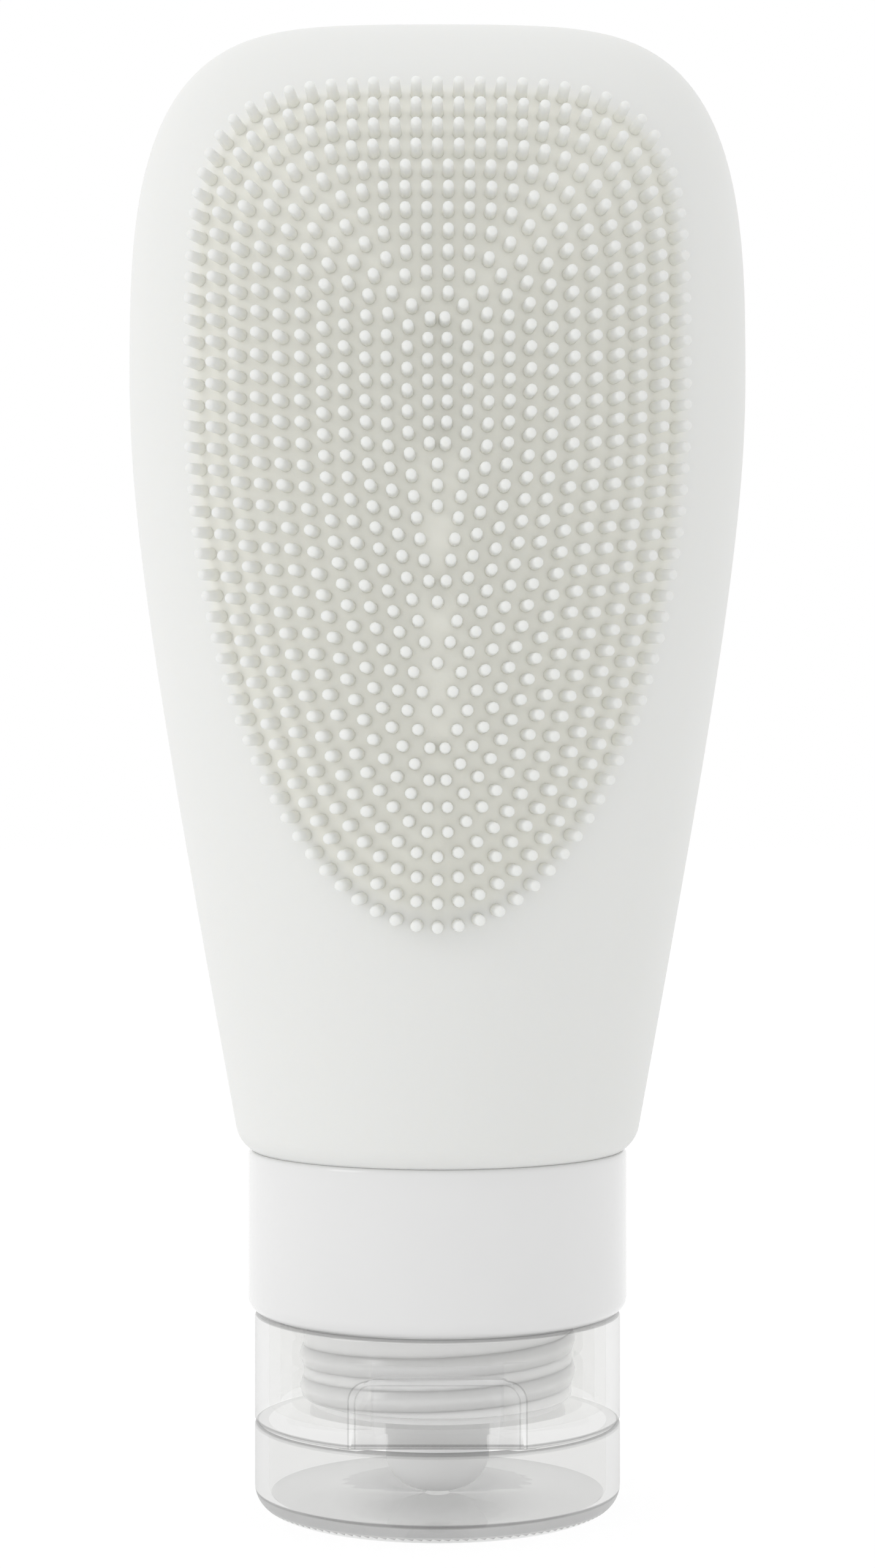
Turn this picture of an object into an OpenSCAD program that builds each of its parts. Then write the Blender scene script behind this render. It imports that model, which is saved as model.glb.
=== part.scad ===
// Silicone travel bottle that stands on its clear flip lid, with a field of soft bristles on its front.
// Lengths are in millimetres. The lid's flat bottom is at z 0, the bristles face the negative y side.

/* [Bottle] */
// Height of the whole bottle above its lid's bottom
height = 140; // [132:0.5:150]
// Half of the bottle's greatest width
half_width = 29.05; // [27:0.05:31]
// Half of the bottle's greatest depth
half_depth = 20.2; // [19.6:0.1:22]
// Thickness of the silicone wall
wall = 2.4; // [1.8:0.1:2.8]

/* [Bristles] */
// Distance between neighbouring bristles
bristle_pitch = 1.93; // [1.9:0.02:2.6]
// How far a bristle stands out of the skin
bristle_length = 2.1; // [1:0.1:3]
// Radius of a bristle at its foot
bristle_foot = 0.58; // [0.4:0.02:0.62]
// Radius of a bristle at its end
bristle_end = 0.5; // [0.3:0.02:0.56]

/* [Collar] */
// How far the white collar stands out past the cap
collar_step = 0.625; // [0.4:0.025:0.8]
// Thickness of the collar's wall
collar_wall = 1.975; // [1.9:0.025:2.2]
// Height of the collar's top edge
collar_top = 33.9; // [32:0.1:34.5]

/* [Cap] */
// Outer radius of the clear cap and its lid
cap_radius = 17.25; // [17:0.05:17.5]
// Thickness of the cap's outer wall
cap_wall = 1.3; // [1.2:0.05:1.4]
// Height of the line where lid and cap meet
parting = 8.3; // [8.3:0.1:9]
// Height of the cap's top edge
cap_top = 18.5; // [18.2:0.1:18.5]
// Thickness of the lid's floor
lid_floor = 1.2; // [1:0.1:1.4]

/* [Neck] */
// Thickness of the cap's threaded skirt
skirt_wall = 1.1; // [1:0.05:1.3]
// Thickness of the neck's wall
neck_wall = 1.9; // [1.7:0.1:2.2]
// Height of a thread ridge above its root
thread_height = 0.7; // [0.5:0.05:0.75]
// Rise of the thread in a whole turn
thread_pitch = 3; // [2.8:0.1:3.4]

/* [Hidden] */
$fn = 96;

gap = 0.05;
part_gap = 0.1;
joint_gap = 0.2;

SILICONE = [0.9, 0.9, 0.88];
WHITE = [0.93, 0.93, 0.92];
CLEAR = [0.9, 0.92, 0.93, 0.35];

// what lies inside what, from the cap's wall inward
skirt_outer = cap_radius - cap_wall - 1.1;
skirt_inner = skirt_outer - skirt_wall;
neck_radius = skirt_inner - 0.35 - thread_height;
neck_bore = neck_radius - neck_wall;
collar_radius = cap_radius + collar_step;

// bottle skin
body_low = collar_top;
widest_z = height - 33.4;
deepest_z = body_low + 32.1;
arch_z = height - 21;
low_round = 2.5;

function smooth(t) = let (u = min(1, max(0, t))) u * u * (3 - 2 * u);
function spow(v, p) = sign(v) * pow(abs(v), p);
function low_corner(z) =
  z < body_low + low_round ? low_round - sqrt(max(0, pow(low_round, 2) - pow(body_low + low_round - z, 2))) : 0;
function narrowing(v) = sqrt(0.0361 * v * v + 15.6) - 3.95;
function half_w(z) = z < widest_z
  ? half_width - narrowing(widest_z - z) - low_corner(z)
  : half_width * pow(max(0, 1 - pow((z - widest_z) / (height - widest_z), 3)), 0.235);
function bulge(z) = z < deepest_z
  ? half_depth - 1.15 * pow((deepest_z - z) / 29, 2) - low_corner(z)
  : half_depth - 0.0011 * pow(z - deepest_z, 2);
function arch(z) = z < arch_z ? 1 : sqrt(max(0, 1 - pow((z - arch_z) / (height - arch_z), 2)));
function half_d(z) = bulge(z) * arch(z);
function power(z) = 2 + 0.3 * smooth((z - body_low - 6.1) / 60);
function around(z, a, thin) = [
  (half_w(z) - thin) * spow(cos(a), 2 / power(z)),
  (half_d(z) - thin) * spow(sin(a), 2 / power(z)),
  z
];
function skin_levels(n_low, n_top) = concat(
  [for (i = [0:3]) body_low + low_round * (1 - cos(i * 30))],
  [for (i = [1:n_low]) body_low + low_round + (arch_z - body_low - low_round) * i / n_low],
  [for (i = [1:n_top]) arch_z + (height - arch_z) * sin(i * 86 / n_top)]
);

function hollow_levels(n) = let (low = body_low + low_round + 0.1)
  [for (i = [0:n]) low + (height - wall - 1.5 - low) * i / n];

module skin(n, levels, thin, crown) {
  rings = len(levels);
  points = concat(
    [for (z = levels) for (j = [0:n - 1]) around(z, j * 360 / n, thin)],
    [[0, 0, levels[0]], [0, 0, crown]]
  );
  foot = rings * n;
  last = (rings - 1) * n;
  faces = concat(
    [for (i = [0:rings - 2]) for (j = [0:n - 1]) [i * n + j, (i + 1) * n + j, (i + 1) * n + (j + 1) % n]],
    [for (i = [0:rings - 2]) for (j = [0:n - 1]) [i * n + j, (i + 1) * n + (j + 1) % n, i * n + (j + 1) % n]],
    [for (j = [0:n - 1]) [foot, j, (j + 1) % n]],
    [for (j = [0:n - 1]) [foot + 1, last + (j + 1) % n, last + j]]
  );
  polyhedron(points, faces, convexity = 6);
}

// bristle field: rings one inside the other, like a fingerprint, set out where the bristles end
field_half_width = half_width - 6.45;
field_up = 28.4;
field_z = height - 8.1 - field_up;
field_down = field_z - body_low - 21.7;
field_power = 4.5;
ring_count = 12;
on_axis_rings = 4;
seam = 0.62;

function front(x, z) = -half_d(z) * pow(max(0, 1 - pow(abs(x) / half_w(z), power(z))), 1 / power(z));
function out_way(p) = let (
    e = 0.05,
    dx = (front(p[0] + e, p[1]) - front(p[0] - e, p[1])) / (2 * e),
    dz = (front(p[0], p[1] + e) - front(p[0], p[1] - e)) / (2 * e)
  ) [dx, -1, dz] / norm([dx, -1, dz]);
function inset(k) = k * (1.1 * bristle_pitch - 0.0135 * k);
function upper_point(k, a) = [
  (field_half_width - inset(k)) * spow(cos(a), 2 / field_power),
  field_z + (field_up - inset(k)) * spow(sin(a), 2 / field_power)
];
function lower_point(k, a) = let (
    p = [field_half_width * cos(a), -field_down * sin(a)],
    n = [cos(a) / field_half_width, -sin(a) / field_down]
  ) p - inset(k) * n / norm(n) + [0, field_z];
function is_blunt(k) = inset(k) < pow(field_half_width, 2) / field_down;
function half_ring(k) = concat(
  [for (a = [90:-2:0]) upper_point(k, a)],
  [for (a = [0.5:0.5:90]) let (p = lower_point(k, a)) if (p[0] > 0 || is_blunt(k)) p]
);
function way_along(p, i = 0, sum = 0, out = [0]) =
  i >= len(p) - 1 ? out : let (s = sum + norm(p[i + 1] - p[i])) way_along(p, i + 1, s, concat(out, [s]));
function step_at(c, s, lo, hi) =
  hi - lo <= 1 ? lo : let (m = floor((lo + hi) / 2)) c[m] <= s ? step_at(c, s, m, hi) : step_at(c, s, lo, m);
function point_at(p, c, s) = let (i = step_at(c, s, 0, len(p) - 1))
  p[i] + (p[i + 1] - p[i]) * (s - c[i]) / max(0.000001, c[i + 1] - c[i]);
function ring_spots(k) = let (
    p = half_ring(k), c = way_along(p), s = c[len(c) - 1], n = max(1, round(s / bristle_pitch)),
    first = k < on_axis_rings ? 0 : 0.5
  ) [for (i = [first:n - first]) point_at(p, c, s * i / n)];
function foot_of(end) = let (
    n = out_way(end), p = end - bristle_length * [n[0], n[2]], m = out_way(p)
  ) end - bristle_length * [m[0], m[2]];

module bristle(p) {
  sink = 0.5;
  n = out_way(p);
  translate([p[0], front(p[0], p[1]), p[1]]) rotate([0, acos(n[2]), atan2(n[1], n[0])])
    translate([0, 0, -sink]) cylinder(h = bristle_length + sink, r1 = bristle_foot, r2 = bristle_end, $fn = 16);
}

// neck that carries the silicone mouth above and the cap's thread below
deck_low = parting + part_gap;
deck_top = deck_low + 1.5;
neck_low = deck_top + 0.7;
lip_low = cap_top + joint_gap;
lip_thick = 1.5;
flange_low = lip_low + lip_thick + gap;
flange_top = flange_low + 1.8;
mouth_radius = collar_radius - collar_wall - gap;
flange_radius = mouth_radius - gap;
spigot_top = collar_top - 0.9;
spigot_radius = neck_bore + 2.2;
barb = 0.6;
barb_zs = [flange_top + 2.55, flange_top + 6.55];

function spigot_outline(grow, low) = concat(
  [[0, low], [spigot_radius + grow, low]],
  [for (z = barb_zs) each [
    [spigot_radius + grow, z], [spigot_radius + barb + grow, z + 0.2 - grow], [spigot_radius + grow, z + 2.4]
  ]],
  [[spigot_radius + grow, spigot_top - 0.8 + grow], [spigot_radius - 0.8 + grow, spigot_top + grow]],
  [[0, spigot_top + grow]]
);

module bottle_body() {
  color(SILICONE)
  union() {
    difference() {
      union() {
        skin(48, skin_levels(18, 12), 0, height);
        translate([0, 0, flange_top + gap]) cylinder(h = body_low + 2 - flange_top, r = mouth_radius);
      }
      skin(32, hollow_levels(16), wall, height - wall - 0.6);
      rotate_extrude() polygon(spigot_outline(gap, flange_top));
      translate([0, 0, spigot_top - 1]) cylinder(h = 6, r = spigot_radius + gap);
    }
    for (k = [0:ring_count - 1], p = ring_spots(k), side = p[0] < seam ? [0] : [-1, 1])
      bristle(foot_of([side * p[0], p[1]]));
  }
}

module collar() {
  edge = 0.5;
  low_edge = 1.5;
  color(WHITE)
  rotate_extrude() polygon(concat(
    [[neck_radius + thread_height + joint_gap, lip_low]],
    [for (i = [0:8]) [
      collar_radius - low_edge + low_edge * sin(i * 90 / 8),
      lip_low + low_edge - low_edge * cos(i * 90 / 8)
    ]],
    [for (i = [0:6]) [
      collar_radius - edge + edge * cos(i * 15),
      collar_top - gap - edge + edge * sin(i * 15)
    ]],
    [[mouth_radius + gap, collar_top - gap], [mouth_radius + gap, lip_low + lip_thick]],
    [[neck_radius + thread_height + joint_gap, lip_low + lip_thick]]
  ));
}

// a ridge that winds up to the right, its foot sunk in the wall, running out at both ends of its turn
ridge_sink = 0.3;
ridge_foot = 0.85;
ridge_crest = 0.3;
neck_turn = [-204, 468];
cap_turn = [12, 560];
neck_ridge_z = neck_low + 3.9;

module ridge(foot_r, crest_r, foot_half, z_at_left, turn) {
  n = round((turn[1] - turn[0]) / 12);
  fade = 3;
  function high(i) = min(1, min(i, n - i) / fade);
  function place(r, z, a) = [r * cos(a), r * sin(a), z + z_at_left + thread_pitch * (a - 180) / 360];
  points = [for (i = [0:n]) let (
      a = turn[0] + (turn[1] - turn[0]) * i / n, f = high(i), r = foot_r + (crest_r - foot_r) * (0.3 + 0.7 * f)
    ) each [
      place(foot_r, -foot_half, a), place(r, -ridge_crest, a),
      place(r, ridge_crest, a), place(foot_r, foot_half, a)
    ]];
  order = crest_r > foot_r ? [0, 1, 2, 3] : [3, 2, 1, 0];
  faces = concat(
    [[for (j = [3:-1:0]) order[j]]],
    [for (i = [0:n - 1]) for (j = [0:3]) let (a = order[j], b = order[(j + 1) % 4])
      each [[i * 4 + a, i * 4 + b, i * 4 + 4 + b], [i * 4 + a, i * 4 + 4 + b, i * 4 + 4 + a]]],
    [[for (j = [0:3]) n * 4 + order[j]]]
  );
  polyhedron(points, faces, convexity = 8);
}

module threaded_neck() {
  color(WHITE)
  difference() {
    union() {
      translate([0, 0, neck_low]) cylinder(h = flange_low + 0.5 - neck_low, r = neck_radius);
      translate([0, 0, flange_low]) cylinder(h = flange_top - flange_low, r = flange_radius);
      rotate_extrude() polygon(spigot_outline(0, flange_low + 0.5));
      ridge(neck_radius - ridge_sink, neck_radius + thread_height, ridge_foot, neck_ridge_z, neck_turn);
    }
    translate([0, 0, neck_low - 1]) cylinder(h = spigot_top - neck_low + 2, r = neck_bore);
  }
}

// soft valve, its flange clamped between the cap's deck and the neck's end
valve_radius = 4.9;
valve_wall = 1.2;
valve_flange = neck_bore + 1.1;
valve_tip = lid_floor + 0.5;
valve_round = 3.6;
orifice = 1.3;

module valve() {
  color(WHITE)
  rotate_extrude() polygon(concat(
    [[orifice + 0.5, valve_tip]],
    [for (i = [0:12]) [
      valve_radius - valve_round + valve_round * sin(i * 7.5),
      valve_tip + valve_round - valve_round * cos(i * 7.5)
    ]],
    [[valve_radius, deck_top + gap], [valve_flange, deck_top + gap], [valve_flange, neck_low - gap]],
    [[valve_radius - valve_wall, neck_low - gap], [valve_radius - valve_wall, valve_tip + 3.5]],
    [[orifice, valve_tip + 2.3], [orifice, valve_tip + 0.5]]
  ));
}

// clear cap: outer wall, deck, threaded skirt round the neck, thumb recess and hinge ears
recess_y = -(cap_radius - 2.25);
recess_high = 6.6;
recess_round = 2;
recess_foot = sqrt(pow(cap_radius, 2) - pow(recess_y, 2)) - 0.57;
recess_shoulder = recess_foot - 2.75;
recess_wall = 0.95;
hinge_y = cap_radius + 1.6;
hinge_z = parting + part_gap / 2;
hinge_r = 1.5;
trunnion = 0.75;
lug_half = 2.3;
ear_wide = 2.3;
pin_half = lug_half + part_gap + ear_wide;

module recess_outline() {
  r = recess_round;
  z = deck_low + recess_high - r;
  polygon(concat(
    [[-recess_foot, deck_low - 1], [recess_foot, deck_low - 1]],
    [for (i = [0:6]) [recess_shoulder + r * cos(i * 15), z + r * sin(i * 15)]],
    [for (i = [0:6]) [-recess_shoulder - r * sin(i * 15), z + r * cos(i * 15)]]
  ));
}

module cap_base() {
  edge = 0.35;
  color(CLEAR)
  difference() {
    union() {
      difference() {
        union() {
          rotate_extrude() polygon([
            [cap_radius - cap_wall, deck_low], [cap_radius - edge, deck_low], [cap_radius - 0.1, deck_low + 0.1],
            [cap_radius, deck_low + edge], [cap_radius, cap_top - edge], [cap_radius - 0.1, cap_top - 0.1],
            [cap_radius - edge, cap_top], [cap_radius - cap_wall, cap_top]
          ]);
          translate([0, 0, deck_low]) cylinder(h = deck_top - deck_low, r = cap_radius - cap_wall + 0.3);
          translate([0, 0, deck_low]) cylinder(h = cap_top - 0.9 - deck_low, r = skirt_outer);
          intersection() {
            translate([-recess_foot - recess_wall, -cap_radius, deck_low])
              cube([2 * (recess_foot + recess_wall), cap_radius + recess_y + 1.4, recess_high + 1]);
            translate([0, 0, deck_low]) cylinder(h = recess_high + 2, r = cap_radius - 0.2);
          }
        }
        translate([0, 0, deck_top]) cylinder(h = 20, r = skirt_inner);
        translate([0, recess_y, 0]) rotate([90, 0, 0]) linear_extrude(height = 6) recess_outline();
      }
      ridge(
        skirt_inner + ridge_sink, skirt_inner - thread_height, ridge_foot - gap,
        neck_ridge_z - thread_pitch / 2, cap_turn
      );
      for (s = [-1, 1]) hinge_ear(s);
    }
    translate([0, 0, deck_low - 1]) cylinder(h = deck_top - deck_low + 2, r = valve_radius + 0.1);
    translate([-pin_half - 1, hinge_y, hinge_z]) rotate([0, 90, 0])
      cylinder(h = 2 * (pin_half + 1), r = trunnion + gap);
  }
}

module hinge_ear(s) {
  x = s > 0 ? lug_half + part_gap : -lug_half - part_gap - ear_wide;
  translate([x, hinge_y, hinge_z]) rotate([0, 90, 0]) cylinder(h = ear_wide, r = hinge_r);
  translate([x, cap_radius - 1, hinge_z + part_gap / 2]) cube([ear_wide, hinge_y - cap_radius + 1, hinge_r - 0.05]);
}

module flip_lid() {
  corner = 2.3;
  fillet = 0.9;
  edge = 0.35;
  r = cap_radius;
  in_r = cap_radius - cap_wall;
  color(CLEAR)
  difference() {
    union() {
      rotate_extrude() polygon(concat(
        [[0, 0]],
        [for (i = [0:10]) [r - corner + corner * sin(i * 9), corner - corner * cos(i * 9)]],
        [[r, parting - edge], [r - 0.1, parting - 0.1], [r - edge, parting], [in_r, parting]],
        [for (i = [0:6]) [in_r - fillet + fillet * cos(i * 15), lid_floor + fillet - fillet * sin(i * 15)]],
        [[0, lid_floor]]
      ));
      translate([0, 0, lid_floor - 0.2])
        cylinder(h = valve_tip + 1.1 - lid_floor, r1 = orifice - 0.05, r2 = orifice - 0.5);
      translate([-lug_half, hinge_y, hinge_z]) rotate([0, 90, 0]) cylinder(h = lug_half * 2, r = hinge_r - 0.05);
      translate([-lug_half, r - 0.8, hinge_z - part_gap / 2 - 1.5]) cube([lug_half * 2, hinge_y - r + 0.8, 1.5]);
      translate([-pin_half, hinge_y, hinge_z]) rotate([0, 90, 0]) cylinder(h = 2 * pin_half, r = trunnion);
    }
  }
}

bottle_body();
collar();
threaded_neck();
valve();
cap_base();
flip_lid();
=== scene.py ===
"""Silicone travel bottle with a bristled front, a white collar and a clear flip-top cap.

Every length in the shape functions is in millimetres and is turned into metres where a mesh is placed.
"""

import math

import bmesh
import bpy
from bpy.props import FloatProperty, FloatVectorProperty, IntProperty, PointerProperty
from mathutils import Matrix, Vector


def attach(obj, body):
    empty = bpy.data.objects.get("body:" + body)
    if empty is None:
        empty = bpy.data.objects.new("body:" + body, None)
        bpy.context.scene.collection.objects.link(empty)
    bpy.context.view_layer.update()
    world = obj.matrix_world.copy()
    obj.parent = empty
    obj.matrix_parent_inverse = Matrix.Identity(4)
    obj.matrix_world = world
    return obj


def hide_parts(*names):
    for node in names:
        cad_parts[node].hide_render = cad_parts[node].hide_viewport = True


bl_info = {
    "name": "Travel Bottle",
    "version": (1, 0, 0),
    "blender": (4, 5, 0),
    "location": "3D View > Sidebar > Travel Bottle",
    "description": "Builds a silicone travel bottle with bristles, its cap and a small studio",
    "category": "Add Mesh",
}

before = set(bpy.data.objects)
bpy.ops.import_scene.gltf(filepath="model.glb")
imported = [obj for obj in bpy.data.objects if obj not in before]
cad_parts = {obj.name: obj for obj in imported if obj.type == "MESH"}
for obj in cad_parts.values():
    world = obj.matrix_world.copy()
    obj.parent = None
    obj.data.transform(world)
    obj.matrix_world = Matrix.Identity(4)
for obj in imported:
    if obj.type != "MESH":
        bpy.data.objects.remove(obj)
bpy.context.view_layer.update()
MM = 0.001


# Sizes and colours


class SkinSettings(bpy.types.PropertyGroup):
    """Sizes and colours of the silicone bottle."""

    around: IntProperty(
        name="Points around", description="Points in each ring of the skin", default=144, min=32, max=256
    )
    wall: FloatProperty(
        name="Wall", description="Thickness of the silicone wall",
        default=2.4 * MM, unit="LENGTH", precision=5,
    )
    bristle_pitch: FloatProperty(
        name="Bristle pitch", description="Distance between neighbouring bristles",
        default=1.93 * MM, unit="LENGTH", precision=5,
    )
    bristle_length: FloatProperty(
        name="Bristle length", description="How far a bristle stands out of the skin",
        default=2.1 * MM, unit="LENGTH", precision=5,
    )
    bristle_foot: FloatProperty(
        name="Bristle foot", description="Radius of a bristle at its foot",
        default=0.56 * MM, unit="LENGTH", precision=5,
    )
    bristle_end: FloatProperty(
        name="Bristle end", description="Radius of a bristle near its end",
        default=0.5 * MM, unit="LENGTH", precision=5,
    )
    bristle_sides: IntProperty(
        name="Bristle sides", description="Points round a bristle", default=10, min=6, max=16
    )
    colour: FloatVectorProperty(
        name="Silicone", description="Colour of the smooth silicone",
        default=(0.825, 0.83, 0.812), subtype="COLOR",
    )
    # Painted light: the skin between the bristles is painted lighter and warmer than the silicone, so that
    # the shade there renders soft and warm
    shade: FloatVectorProperty(
        name="Between bristles", description="Colour of the skin between the bristles",
        default=(0.89, 0.885, 0.82), subtype="COLOR",
    )
    # Painted highlight on the bristles' ends, for the front light that falls on them
    bright: FloatVectorProperty(
        name="Bristle ends", description="Colour of the bristles' ends",
        default=(0.875, 0.885, 0.86), subtype="COLOR",
    )


class HardSettings(bpy.types.PropertyGroup):
    """Colours and sizes of the white and clear plastic pieces."""

    steps: IntProperty(
        name="Steps", description="Steps in a full turn of the round pieces", default=160, min=48, max=256
    )
    collar_colour: FloatVectorProperty(
        name="Collar", description="Colour of the white collar",
        default=(0.815, 0.815, 0.812), subtype="COLOR",
    )
    neck_colour: FloatVectorProperty(
        name="Neck", description="Colour of the threaded neck", default=(0.96, 0.96, 0.955), subtype="COLOR"
    )
    valve_colour: FloatVectorProperty(
        name="Valve", description="Colour of the soft valve", default=(0.96, 0.96, 0.955), subtype="COLOR"
    )
    clear_colour: FloatVectorProperty(
        name="Clear plastic", description="Tint of the clear cap and lid",
        default=(0.88, 0.88, 0.875), subtype="COLOR",
    )
    # Painted shade: grey towards the outline of the clear plastic, seen at a glancing angle, for the
    # refraction and reflection at its edges
    painted_outline_shade: FloatVectorProperty(
        name="Clear edges", description="Grey of the clear plastic towards its outline",
        default=(0.35, 0.35, 0.35), subtype="COLOR",
    )


class StageSettings(bpy.types.PropertyGroup):
    """Camera and light of the studio."""

    camera_distance: FloatProperty(
        name="Camera distance", description="From the bottle's axis to the camera",
        default=0.300, unit="LENGTH",
    )
    camera_height: FloatProperty(
        name="Camera height", description="Height of the camera above the floor",
        default=0.0683, unit="LENGTH",
    )
    lens: FloatProperty(
        name="Lens", description="Focal length in millimetres", default=72.7, min=20.0, max=200.0
    )
    room_light: FloatProperty(
        name="Room light", description="Strength of the light from all round", default=0.78
    )
    room_slope: FloatVectorProperty(
        name="Room slope", description="How the room's light grows along each axis",
        default=(-0.06, 0.20, 0.36),
    )
    lamp_power: FloatProperty(
        name="Lamp", description="Power of the soft lamp at the upper left", default=0.38
    )
    floor_colour: FloatVectorProperty(
        name="Floor", description="Colour of the pale floor", default=(0.93, 0.93, 0.93), subtype="COLOR"
    )


# Form of the bottle

HEIGHT = 140.0
HALF_WIDTH = 29.05
HALF_DEPTH = 20.2
BODY_LOW = 33.9
WIDEST_Z = HEIGHT - 33.4
DEEPEST_Z = BODY_LOW + 32.1
ARCH_Z = HEIGHT - 21.0
LOW_ROUND = 2.5
PRESSED = 0.4
CORNER_Z = BODY_LOW + LOW_ROUND - PRESSED
MOUTH_RADIUS = 15.85
MOUTH_LOW = 22.10
BORE_RADIUS = 13.05
BORE_TOP = 36.8
INNER_LOW = 37.2
BARB_HEIGHTS = (24.6, 28.6)
BARB_LENGTH = 2.4
BARB_DEPTH = 0.6
BARB_EDGE = 0.2
CROWN_START = 2.0
CROWN_RINGS = 30
SIDE_RINGS = 48
CORNER_RINGS = 6
INNER_RINGS = 32


def eased(t):
    """0 below 0, 1 above 1 and a soft step between."""
    u = min(1.0, max(0.0, t))
    return u * u * (3.0 - 2.0 * u)


def signed_power(v, p):
    """The power of a number's size, with the number's sign."""
    return math.copysign(abs(v) ** p, v)


def low_corner(z):
    """How far the rounded lower edge, pressed flat on the collar, draws in."""
    if z >= CORNER_Z:
        return 0.0
    return LOW_ROUND - math.sqrt(max(0.0, LOW_ROUND**2 - (CORNER_Z - z) ** 2))


def narrowing(fall):
    """How far the sides draw in below the widest place: a curve that turns into a straight taper."""
    return math.sqrt(0.0361 * fall * fall + 15.6) - 3.95


def half_width(z):
    """Half of the bottle's width at a height."""
    if z < WIDEST_Z:
        return HALF_WIDTH - narrowing(WIDEST_Z - z) - low_corner(z)
    return HALF_WIDTH * max(0.0, 1.0 - ((z - WIDEST_Z) / (HEIGHT - WIDEST_Z)) ** 3) ** 0.235


def half_depth(z):
    """Half of the bottle's depth at a height."""
    if z < DEEPEST_Z:
        depth = HALF_DEPTH - 1.15 * ((DEEPEST_Z - z) / 29.0) ** 2 - low_corner(z)
    else:
        depth = HALF_DEPTH - 0.0011 * (z - DEEPEST_Z) ** 2
    if z > ARCH_Z:
        depth *= math.sqrt(max(0.0, 1.0 - ((z - ARCH_Z) / (HEIGHT - ARCH_Z)) ** 2))
    return depth


def roundness(z):
    """Exponent of the cross section: 2 is an ellipse."""
    return 2.0 + 0.3 * eased((z - 40.0) / 60.0)


def front(x, z):
    """How far the front surface stands at a place, along y."""
    n = roundness(z)
    return -half_depth(z) * max(0.0, 1.0 - (abs(x) / half_width(z)) ** n) ** (1.0 / n)


def out_way(x, z):
    """The direction that points straight out of the front surface."""
    e = 0.05
    dx = (front(x + e, z) - front(x - e, z)) / (2.0 * e)
    dz = (front(x, z + e) - front(x, z - e)) / (2.0 * e)
    return Vector((dx, -1.0, dz)).normalized()


# Form of the collar, the neck, the valve and the cap

COLLAR_RADIUS = 17.875
COLLAR_LOW = 18.62
COLLAR_TOP = 33.895
COLLAR_BORE = 15.9
COLLAR_LIP = 13.6
LIP_THICKNESS = 1.5
COLLAR_ROUND = 1.5
NECK_RADIUS = 12.7
NECK_BORE = 10.8
NECK_LOW = 10.6
NECK_TOP = 33.0
FLANGE_RADIUS = 15.8
FLANGE_LOW = 20.25
FLANGE_TOP = 22.05
SPIGOT_RADIUS = 13.0
THREAD_PITCH = 3.0
THREAD_HEIGHT = 0.32
THREAD_Z_AT_LEFT = 14.5
THREAD_START = -204.0
THREAD_STOP = 468.0
THREAD_RUN_OUT = 28.0
SPOUT_RADIUS = 4.9
SPOUT_TIP = 1.7
SPOUT_ROUND = 3.6
ORIFICE_RADIUS = 1.3
ORIFICE_TOP = 4.0
VALVE_RADIUS = 11.9
VALVE_LOW = 9.95
VALVE_TOP = 10.55
PASSAGE_RADIUS = 3.7
PASSAGE_LOW = 5.2
CAP_RADIUS = 17.25
CAP_WALL = 1.3
CAP_TOP = 18.5
PARTING = 8.3
LID_FLOOR = 1.2
SKIRT_RADIUS = 14.85
RECESS_HALF_WIDTH = 8.0
RECESS_TOP = 14.7
RECESS_CORNER = 2.0
RECESS_Y = -14.5


# The bristles' places

FIELD_HALF_WIDTH = HALF_WIDTH - 6.45
FIELD_UP = 28.4
FIELD_Z = HEIGHT - 8.1 - FIELD_UP
FIELD_DOWN = FIELD_Z - BODY_LOW - 21.7
FIELD_POWER = 4.5
FIELD_FADE = 1.2
RING_COUNT = 12
ON_AXIS_RINGS = 4
SEAM = 0.62
OUTSIDE_WITHIN = 0.6
FOOT_SUNK = 0.25


def ring_inset(k, pitch):
    """How far ring k lies inside the outermost one: the rings close up towards the middle."""
    return k * (1.1 * pitch - 0.0135 * k)


def half_ring(k, pitch):
    """The right half of one ring of bristles, as points (x, z) from its top to its bottom."""
    inset = ring_inset(k, pitch)
    blunt = inset < FIELD_HALF_WIDTH**2 / FIELD_DOWN
    points = []
    for i in range(46):
        c, s = math.sin(math.radians(2.0 * i)), math.cos(math.radians(2.0 * i))
        points.append((
            (FIELD_HALF_WIDTH - inset) * signed_power(c, 2.0 / FIELD_POWER),
            FIELD_Z + (FIELD_UP - inset) * signed_power(s, 2.0 / FIELD_POWER),
        ))
    for i in range(1, 181):
        c, s = math.sin(math.radians(90.0 - 0.5 * i)), math.sin(math.radians(0.5 * i))
        nx, nz = c / FIELD_HALF_WIDTH, -s / FIELD_DOWN
        size = math.hypot(nx, nz)
        x = FIELD_HALF_WIDTH * c - inset * nx / size
        if x > 0.0 or blunt:
            points.append((x, FIELD_Z - FIELD_DOWN * s - inset * nz / size))
    return points


def ring_spots(k, pitch):
    """Places spread evenly along one ring, at the bristles' ends."""
    points = half_ring(k, pitch)
    run = [0.0]
    for a, b in zip(points, points[1:]):
        run.append(run[-1] + math.dist(a, b))
    count = max(1, round(run[-1] / pitch))
    first = 0.0 if k < ON_AXIS_RINGS else 0.5
    spots, j = [], 0
    for i in range(count + 1 - round(2 * first)):
        s = run[-1] * (i + first) / count
        while j < len(run) - 2 and run[j + 1] <= s:
            j += 1
        f = (s - run[j]) / max(1e-6, run[j + 1] - run[j])
        spots.append(tuple(points[j][c] + (points[j + 1][c] - points[j][c]) * f for c in (0, 1)))
    return spots


def foot_of(end, length):
    """Where a bristle whose end is at (x, z) leaves the skin."""
    n = out_way(*end)
    m = out_way(end[0] - length * n.x, end[1] - length * n.z)
    return end[0] - length * m.x, end[1] - length * m.z


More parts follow.
